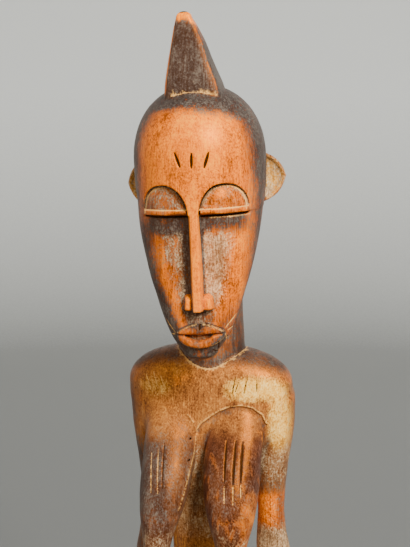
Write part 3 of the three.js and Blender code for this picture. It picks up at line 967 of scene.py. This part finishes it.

# Soot and old oil: black-brown crust, thickest where no hand rubs. The same tone carries painted
# shade: the shadow of the nose, shade under the nose and the eye bars, and the sides of the head
# and body that turn from the light.
tones = {}
right_temple = ease(0, -20, hx) * ease(20, 0, hz) * ease(14, -8, hy)
tones["dirt_and_shade"] = laid_on(
    # back, temples and crown of the skull: painted shade where the sides of the dome turn from the light,
    # and real crust on the crown
    skull_part * ease(-44, -16, hy) * (0.80 + 0.2 * ease(0, 40, hz)) * (1 - 0.25 * right_temple),
    skull_part * ease(80, 95, hz + 0.12 * hx),
    crest_crust,
    # chin and jaw: painted shade under the lower lip and on the sides of the face that turn sideways, over
    # old dirt
    front_face * ease(lip_foot + 0.6, lip_foot - 1.5, hz) * ease(-98, -104, hz) * 0.85,
    off_lips * ease(-50, -84, hz) * ease(13, 22, -hx - 0.35 * (hz + 84)) * 0.55,
    off_lips * ease(-98, -106, hz) * ease(14, 22, wide) * 0.6,
    off_lips * ease(-0.3, -0.6, facing_left) * ease(-56, -80, hz) * 0.4,
    front_face * ease(-0.35, -0.7, normals[:, 0]) * ease(30, -60, hz) * 0.5,
    front_face * ease(0.35, 0.75, normals[:, 0]) * ease(-60, -90, hz) * 0.5,
    # under and beside the nose, and under the eyes: the painted shadow of the nose on the figure's right
    # cheek, a painted dark outline along the foot of the nose and its wings, painted shade under the nose
    # and under the eye bars, and the figure's right cheek darker
    front_face * ease(19, 6, wide) * ease(-92, -86, hz) * ease(-73, -79, hz) * 0.8,
    front_face * ease(2.6, 1.0, nostril_gap) * (1 - on_nose) * (hz < -60) * 0.8,
    front_face * (hx < 0) * ease(20, 40, wide) * ease(2, -10, hz) * 0.25,
    right_cheek * ease(16, 6, wide) * 0.85,
    left_cheek * ease(8, 5.5, wide) * 0.9,
    beside_nose * ease(46, 34, wide) * ease(-20, -3, hz) * 0.95,
    right_cheek * ease(dust_edge + 8, dust_edge - 6, wide) * 0.6,
    # eyes, mouth, ears and neck
    lid * np.where(hx < 0, 0.62, 0.24),
    bar * np.where(hx < 0, 0.38, 0.2),
    in_mouth * 0.3,
    in_lips * (0.42 + 0.3 * ease(5, 1, from_cleft) * (hz > LIP_LEVEL)),
    ear_rim * 0.35,
    on_neck * 0.5,
    # shoulders, breastbone and breasts: old dirt on top of the shoulders, painted shade on the inner side of
    # the right breast, and the right breast and the figure's right shoulder darker
    trunk_skin * upward * ease(645, 666, z) * np.where(x > 0, 0.76, 0.6),
    breastbone * ease(622, 600, z) * (x > -16) * (x < 22) * (0.14 + 0.1 * ease(580, 550, z)),
    off_breast * (z > 560) * ease(-52, -66, x) * 0.25,
    (right_breast - inner_breast) * ease(628, 590, z) * (0.5 + 0.25 * ease(525, 560, z)),
    inner_breast * 0.46,
    left_breast * ease(620, 585, z) * 0.3,
    # arms, flanks, back and legs: grey patches on the left arm, painted shade on faces that turn sideways,
    # and darker on the right arm, towards the back and towards the bottom
    left_arm * ease(606, 580, z) * ease(549, 554, z) * (0.32 + 0.16 * ease(584, 568, z)),
    left_arm * ease(552, 548, z) * ease(515, 522, z) * ease(58, 66, x) * 0.5,
    left_arm * ease(524, 515, z) * 0.26,
    right_arm * ease(610, 580, z) * 0.55,
    off_breast * ease(0.5, 0.9, np.abs(normals[:, 0])) * ease(560, 610, z) * 0.25,
    body * ease(8, 24, y) * 0.5,
    body * ease(505, 440, z) * 0.42,
    # every hollow
    ease(0.25, 1.4, wide_hollow) * (1 - right_breast) * 0.35,
    ease(0.05, 0.35, fine_hollow) * (1 - right_breast) * 0.3,
)
# On the crest it is so thick that it fills every gap, so there the tone is above 1.
tones["dirt_and_shade"] += crest_crust * 0.3

# Dry grey-brown dust that has settled on the crust.
tones["dust"] = laid_on(
    left_cheek * ease(dust_edge + 9, dust_edge - 7, wide) * ease(5, 8, wide) * ease(-7, -20, hz) * 0.95,
    right_cheek * ease(dust_edge + 6, dust_edge - 7, wide) * ease(8, 14, wide) * ease(-6, -18, hz) * 0.5,
    front_face * ease(17, 8, wide) * ease(-90, -86, hz) * ease(-75, -80, hz) * 0.2,
    lid * ease(5.0, 1.5, -arch) * np.where(hx > 0, 0.6, 0.4),
    lid * np.where(hx > 0, 0.2, 0.22),
    (ear_hollow + ear_rim) * 0.5,
    in_mouth * 0.3,
    left_arm * ease(606, 590, z) * ease(556, 574, z) * 0.55,
    left_arm * ease(552, 548, z) * 0.16,
    left_arm * ease(524, 512, z) * 0.85,
    breastbone * ease(606, 590, z) * (x > -28) * (x < 14) * 0.45,
    in_breast * ease(545, 520, z) * 0.3,
)

# Wood that hands have rubbed back to its bright orange, with a painted highlight on the forehead.
tones["worn"] = laid_on(
    crest_bare * 0.85,
    on_nose * 0.95,
    left_breast * ease(36, 44, x) * ease(575, 552, z) * 0.4,
    bar * 0.15,
    left_arm * ease(-2, -10, y) * ease(553, 548, z) * ease(518, 532, z) * 0.35,
    # painted highlight on the forehead
    on_head * patch(own, (7, 60), (40, 40)) * 0.95,
    front_face * ease(26, 38, wide) * ease(0, -6, hz) * ease(-90, -60, hz) * (hx > 0) * 0.5,
    ease(-0.12, -0.5, fine_hollow) * 0.45,
)

# Pale rubbed wood on the ears and lips, and painted highlights where the light falls on the collar bones,
# the left upper arm and the lower breasts.
tones["pale_and_highlight"] = laid_on(
    ear * (0.3 + 0.4 * ear_hollow),
    body * patch(spots, (44, 652), (36, 16)),
    body * patch(spots, (66, 620), (15, 44)) * 0.8,
    body * patch(spots, (-46, 650), (26, 14)) * 0.35,
    in_breast * ease(560, 520, z) * ease(498, 512, z) * 0.16,
    in_lips * 0.1,
)

# Under all of these the body is honey brown, and the breasts are plum brown below their tops.
breast_top = np.where(x > 0, ease(630, 604, z), ease(616, 592, z))
tones["golden"] = laid_on(body * (1 - 0.4 * on_neck) * (1 - arm_glow), crest_crust, ear)
tones["plum"] = laid_on((in_breast - 0.5 * inner_breast) * (0.6 + 0.4 * ease(505, 545, z)) * breast_top)

# Where the surface has dried out, it has opened in fine checks.
tones["cracked"] = laid_on(
    trunk_skin * upward * ease(640, 660, z),
    left_arm * ease(596, 570, z) * ease(552, 560, z) * 0.6,
    left_arm * ease(524, 514, z),
    off_lips * ease(-92, -104, hz) * 0.8,
    ear_hollow * 0.7,
    lid * 0.5,
    beside_nose * ease(dust_edge + 9, dust_edge - 7, wide) * 0.5,
)

# Lines are drawn where a cut shows bare wood, and where old dirt fills one. Dark lines are also painted as
# shadow along the wall under each brow and in the undercut slit below each eye bar.
light_cuts = np.zeros(len(spots))
dark_cuts = np.zeros(len(spots))
on_body = np.flatnonzero((y < BODY_FRONT) & (z < COLLAR_LEVEL) & (z > CHEST_LEVEL))
on_face = np.flatnonzero((y < FACE_FRONT) & (z > CHIN_LEVEL))
for tone_name, layer in (("light", light_cuts), ("dark", dark_cuts)):
    layer[on_body] = knife_cuts(x[on_body], z[on_body], BODY_MARKS, tone_name)
    layer[on_face] = knife_cuts(hx[on_face], hz[on_face], HEAD_MARKS, tone_name)
outer_eye = ease(-4, 10, wide - EYE_MIDDLE)
bar_top = np.abs(hz - EYE_LINE - BAR_HEIGHT + 0.5)
crest_foot = on_head * (hz > 90) * (hz < 110) * (hy < -18) * ease(1.2, 0.6, crest_gap)
crest_foot = crest_foot * (hx > -18.5) * (hx < 21)
collar = body * (z > 664) * (z < 692) * (y < 10)
light_lines = [
    light_cuts * np.where(z > 690, 0.95, 0.72),
    chest_front * (x > -8) * drawn(np.abs(breast_side * breast_gap - 0.8), 1.3, 0.4) * 0.56,
    chest_front * ((z > 600) | (y < -36)) * drawn(ridge_gap, 0.9, 0.2) * 0.45,
    front_face * ease(0.5, -0.5, arch) * drawn(bar_top, 0.7, 0.2) * 0.9,
    front_face * (hz > 5) * drawn(np.abs(-arch - 2.2), 0.9, 0.2) * (0.35 + 0.5 * outer_eye),
    front_face * (hz < 2) * (hx > 12) * (hx < 44) * drawn(np.abs(hz - 0.2), 0.8, 0.3) * 0.5,
    in_lips * (from_cleft > 2.5) * drawn(np.abs(hz - lip_top + 0.7), 1.0, 0.3) * 0.45,
    in_lips * drawn(np.abs(hz - lip_foot - 0.8), 1.0, 0.3) * 0.35,
    collar * drawn(np.abs(neck_gap - 1.7), 1.2, 0.3) * 0.7,
    crest_foot * ease(0.5, 0.9, above_skull) * ease(1.8, 1.3, above_skull) * 0.65,
]
tones["bare_line"] = np.maximum.reduce(light_lines)
slit_across = ease(20.5, 17.5, np.abs(wide - EYE_MIDDLE))
lip_cleft = in_lips * ease(-92, -91, hz) * ease(-86, -87, hz)
dark_lines = [
    dark_cuts,
    # painted shadow along the wall of each eye socket, under the brow
    front_face * (hz > EYE_LINE) * drawn(np.abs(arch + 0.5), 1.2, 0.3) * (0.75 - 0.4 * outer_eye),
    # painted shadow in the undercut slit below each bar
    front_face * slit_across * ease(3.1, 2.5, hz) * ease(0.7, 1.4, hz) * 0.85,
    in_crest * ease(166.4, 167.4, hz) * 0.8,
    in_lips * drawn(np.abs(hz - LIP_LEVEL + 1.2), 0.8, 0.3) * 0.7,
    lip_cleft * drawn(from_cleft, 1.0, 0.5) * 0.9,
    ear * ease(0.02, 0.3, ear_hollow) * ease(0.98, 0.7, ear_hollow) * 0.6,
    chest_front * (x < -5) * (z < 608) * ease(7.0, 3.5, ridge_gap) * ease(0.8, 2.0, ridge_gap) * 0.12,
]
tones["dark_line"] = np.maximum.reduce(dark_lines)
for name, strength in tones.items():
    layer = carved.data.attributes.new(name, "FLOAT", "POINT")
    layer.data.foreach_set("value", strength.astype(np.float32))


# The wood
# Dense tropical hardwood, cut with adze and knife, rubbed with palm oil and polished by hands. The
# eye gets fine upright grain, a warm soft sheen where it is rubbed, and dull crust elsewhere.
def linear(colour):
    """An sRGB hex value as the linear colour that the shader takes."""
    parts = [int(colour[i : i + 2], 16) / 255 for i in (0, 2, 4)]
    return (*[c / 12.92 if c <= 0.04045 else ((c + 0.055) / 1.055) ** 2.4 for c in parts], 1.0)


wood = bpy.data.materials.new("oiled_hardwood")
wood.use_nodes = True
tree = wood.node_tree
tree.nodes.clear()


def add(kind, feeds, out=0, stops=(), **settings):
    """A node with its settings, and each input given a value or the output that feeds it."""
    made = tree.nodes.new("ShaderNode" + kind)
    for name, value in settings.items():
        setattr(made, name, value)
    for key, value in feeds.items():
        if isinstance(value, bpy.types.NodeSocket):
            tree.links.new(value, made.inputs[key])
        else:
            made.inputs[key].default_value = value
    for n, (where, colour) in enumerate(stops):
        stop = made.color_ramp.elements[n] if n < 2 else made.color_ramp.elements.new(where)
        stop.position = where
        stop.color = linear(colour)
    return made.outputs[out] if made.outputs else None


place_on = add("TexCoord", {}, out=3)  # Object coordinates
MM = 1000.0  # millimetres in a metre, the unit that the patterns are laid out in


def speckle(width, height, detail, rough, seed):
    """Uneven tone in patches that many millimetres wide and high."""
    scale = (MM / width, MM / width, MM / height)
    placed = add("Mapping", {"Vector": place_on, "Scale": scale, "Location": (seed, seed * 0.7, seed * 1.3)})
    return add("TexNoise", {"Vector": placed, "Scale": 1.0, "Detail": detail, "Roughness": rough})


def blend(*parts, base=0.0):
    """Patterns added to a base, each by its own share."""
    for pattern, share in parts:
        base = add("Math", {0: pattern, 1: share, 2: base}, operation="MULTIPLY_ADD")
    return base


def strength_of(name):
    """A tone's strength on the figure, as it was worked out above."""
    return add("Attribute", {}, out=2, attribute_name=name)


def tone(name, breakup, uneven, hard):
    """A tone's strength on the figure, with its edge broken up by an uneven pattern."""
    strength = strength_of(name)
    ragged = blend((breakup, uneven), base=strength)
    level = 0.5 - (0.5 + 0.5 * uneven) * hard
    spread = add("Math", {0: ragged, 1: hard, 2: level}, operation="MULTIPLY_ADD", use_clamp=True)
    there = add("Math", {0: strength, 1: 4.0}, operation="MULTIPLY", use_clamp=True)
    return add("Math", {0: spread, 1: there}, operation="MULTIPLY")


# Fibres are a few tenths of a millimetre wide: they are drawn 1.0 mm wide, the least that shows.
fibre = speckle(1.0, 16.0, 4.0, 0.7, 0.0)
streak = speckle(4.5, 80.0, 3.0, 0.55, 3.0)
blotch = speckle(26.0, 34.0, 5.0, 0.6, 7.0)
# Dust and crust lie in grains of half a millimetre and more, drawn 1.5 mm wide, and in flakes.
grit = speckle(1.5, 1.8, 3.0, 0.7, 11.0)
flake = speckle(6.0, 8.0, 5.0, 0.7, 13.0)
# The tree's yearly layers stand upright around its heart, 2.4 mm apart, and show on the dome.
flat = add("VectorMath", {0: place_on, 1: (MM, MM, 0.0)}, operation="MULTIPLY")
radius = add("VectorMath", {0: flat}, out=1, operation="LENGTH")
layers = add("Math", {0: blend((blotch, 14.0), (radius, 2.6))}, operation="SINE")

# Grain colours the cleaner wood, and mottle, which is coarser, the rest.
grain = blend((blotch, 0.20), (flake, 0.12), (grit, 0.30), (fibre, 0.26), (streak, 0.12), (layers, 0.008))
mottle = blend((blotch, 0.20), (flake, 0.22), (grit, 0.34), (fibre, 0.24))
breakup = blend((grit, 0.55), (flake, 0.45))

# Old wood opens in fine checks around flakes 6 mm wide and 9 mm high.
cells = add("Mapping", {"Vector": place_on, "Scale": (MM / 6.0, MM / 6.0, MM / 9.0)})
cells = add("VectorMath", {0: cells, 1: blend((grit, 0.5))}, operation="ADD")
check = add("TexVoronoi", {"Vector": cells, "Scale": 1.0}, feature="DISTANCE_TO_EDGE")
check = add("Math", {0: check, 1: -14.0, 2: 1.0}, operation="MULTIPLY_ADD", use_clamp=True)
torn = add("Math", {0: flake, 1: 7.0, 2: -3.0}, operation="MULTIPLY_ADD", use_clamp=True)
for there in (torn, strength_of("cracked")):
    check = add("Math", {0: check, 1: there}, operation="MULTIPLY")

# A look runs from the colour of its darkest grain to that of its lightest.
amber = [(0.40, "4e2006"), (0.46, "9a4604"), (0.52, "de6a02"), (0.60, "f88c04")]
honey = [(0.40, "3e2214"), (0.46, "744422"), (0.52, "985e2c"), (0.60, "c6863e")]
russet = [(0.40, "1c0e09"), (0.46, "381c13"), (0.52, "4f2a1c"), (0.60, "72452f")]
bright = [(0.40, "ac4c00"), (0.50, "ea7400"), (0.60, "ff9a02")]
rubbed_and_highlight = [(0.40, "a86a1e"), (0.50, "f0ac40"), (0.60, "ffdc80")]
# The crust colour also serves for the painted shade that the dirt tone carries.
crust_and_shade = [(0.40, "100f0f"), (0.49, "2c2a28"), (0.60, "605a50")]
dust = [(0.42, "52402c"), (0.50, "947654"), (0.58, "d2b286")]
dirty_and_shaded = tone("dirt_and_shade", breakup, 3.2, 1.5)
dusty = tone("dust", breakup, 3.0, 1.4)
pale_and_highlight = tone("pale_and_highlight", breakup, 1.6, 1.4)
dark_line = tone("dark_line", flake, 1.6, 2.4)
# From the bare wood up, each look covers what is below it as far as its tone is strong. Cuts and
# checks have one colour for all grain. Inputs 6 and 7 of a mix are its two colours.
colour = add("ValToRGB", {0: grain}, stops=amber)
for strength, cover, pattern, look in (
    (strength_of("golden"), 0.95, mottle, honey),
    (strength_of("plum"), 0.95, mottle, russet),
    (tone("worn", breakup, 2.0, 1.4), 0.9, grain, bright),
    (pale_and_highlight, 0.9, mottle, rubbed_and_highlight),
    (dirty_and_shaded, 1.0, mottle, crust_and_shade),
    (dusty, 0.82, mottle, dust),
    (check, 0.8, None, "241710"),
    (dark_line, 1.0, None, "150d07"),
    (tone("bare_line", breakup, 2.6, 2.0), 0.8, None, "e8ac5c"),
):
    over = linear(look) if pattern is None else add("ValToRGB", {0: pattern}, stops=look)
    held = add("Math", {0: strength, 1: cover}, operation="MULTIPLY")
    colour = add("Mix", {0: held, 6: colour, 7: over}, out=2, data_type="RGBA")

rough = blend((flake, 0.24), (dusty, 0.3), (dirty_and_shaded, 0.16), (pale_and_highlight, -0.07), (dark_line, 0.4), base=0.21)
relief = blend((dirty_and_shaded, 0.3), (check, -0.8), (grit, 0.5), (fibre, 0.5))
bump = add("Bump", {"Strength": 0.35, "Distance": 0.0006, "Height": relief})
# Oil in the open grain takes up light, so that the sheen is warm, not white.
shader = add(
    "BsdfPrincipled",
    {
        "Base Color": colour,
        "Roughness": rough,
        "IOR": 1.5,
        "Specular IOR Level": 0.7,
        "Specular Tint": linear("ff8e18"),
        "Normal": bump,
    },
)
add("OutputMaterial", {"Surface": shader})
carved.data.materials.clear()
carved.data.materials.append(wood)
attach(carved, "root")
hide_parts("figure")


# The studio
# A plain pale floor that sweeps up all round into a plain wall, as a photographer's paper does.
FLOOR_RADIUS = 2.6
WALL_RADIUS = 3.8
WALL_HEIGHT = 3.2
bend = WALL_RADIUS - FLOOR_RADIUS
profile = [(0.0, 0.0), (FLOOR_RADIUS / 2, 0.0)]
profile += [(FLOOR_RADIUS + bend * sin(a), bend * (1 - cos(a))) for a in np.linspace(0, pi / 2, 14)]
profile.append((WALL_RADIUS, WALL_HEIGHT))
spokes = 72
angles = [2 * pi * i / spokes for i in range(spokes)]
points = [(far * cos(a), far * sin(a), high) for far, high in profile[1:] for a in angles]
points.append((0.0, 0.0, 0.0))
sweep_faces = [(len(points) - 1, i, (i + 1) % spokes) for i in range(spokes)]
for ring in range(len(profile) - 2):
    for i in range(spokes):
        a = ring * spokes + i
        b = ring * spokes + (i + 1) % spokes
        sweep_faces.append((a, a + spokes, b + spokes, b))
sweep_mesh = bpy.data.meshes.new("paper_sweep")
sweep_mesh.from_pydata(points, [], sweep_faces)
sweep_mesh.shade_smooth()
sweep = new_object("paper_sweep", sweep_mesh)
# The paper's colour is graded from grey on the floor to nearly white up the wall, a painted shade that
# darkens it towards the floor, and it is matt with a fine tooth, drawn 6 mm wide because the real one is too
# fine to show.
paper = bpy.data.materials.new("matt_studio_paper")
paper.use_nodes = True
tree = paper.node_tree
tree.nodes.clear()
place_on = add("TexCoord", {}, out=3)
far = add("VectorMath", {0: place_on}, out=1, operation="LENGTH")
tooth = speckle(6.0, 6.0, 2.0, 0.5, 0.0)
painted_shade_grade = blend((blend((tooth, 0.15), base=far), 0.25))
tint = add("ValToRGB", {0: painted_shade_grade}, stops=[(0.30, "767672"), (0.72, "8a8a86"), (0.97, "e0e0da")])
shader = add("BsdfPrincipled", {"Base Color": tint, "Roughness": 0.95})
add("OutputMaterial", {"Surface": shader})
sweep_mesh.materials.append(paper)


# Light
# One soft lamp high on the figure's left, a weaker and wider one on its right, and a third that
# lights the paper behind the head.
def soft_light(name, place, aim, size, power):
    light = bpy.data.lights.new(name, "AREA")
    light.size = size
    light.energy = power
    lamp = new_object(name, light)
    lamp.location = place
    lamp.rotation_euler = (Vector(aim) - Vector(place)).to_track_quat("-Z", "Y").to_euler()


LOOKED_AT = (0, 0, 0.75)
soft_light("key", (1.25, -1.5, 2.1), LOOKED_AT, size=0.8, power=146)
soft_light("fill", (-1.5, -1.6, 1.2), LOOKED_AT, size=1.8, power=19)
soft_light("paper_lamp", (0, 1.7, 2.9), (0, 3.7, 1.0), size=1.6, power=30)
world = bpy.data.worlds.new("room")
world.use_nodes = True
background = world.node_tree.nodes["Background"]
background.inputs["Color"].default_value = linear("e8ecf0")
background.inputs["Strength"].default_value = 0.42
bpy.context.scene.world = world


# Camera
# A portrait lens level with the chin, 12 degrees to the figure's left and 10 degrees above it.
PICTURE = (410, 547)
AZIMUTH = radians(12)
PITCH = radians(10)
DISTANCE = 1.15
FOCAL_PIXELS = 1278.0
SENSOR = 36.0
SIDE_SHIFT = 0.00585  # how far the picture's middle is off the figure's, to its right
right = np.array([cos(AZIMUTH), sin(AZIMUTH), 0.0])
forward = np.array([-sin(AZIMUTH) * cos(PITCH), cos(AZIMUTH) * cos(PITCH), -sin(PITCH)])
target = np.array(LOOKED_AT) - SIDE_SHIFT * right
camera_data = bpy.data.cameras.new("camera")
camera_data.sensor_fit = "AUTO"
camera_data.sensor_width = SENSOR
camera_data.lens = SENSOR * FOCAL_PIXELS / max(PICTURE)
camera = new_object("camera", camera_data)
camera.location = target - DISTANCE * forward
camera.rotation_euler = (pi / 2 - PITCH, 0, AZIMUTH)
bpy.context.scene.camera = camera
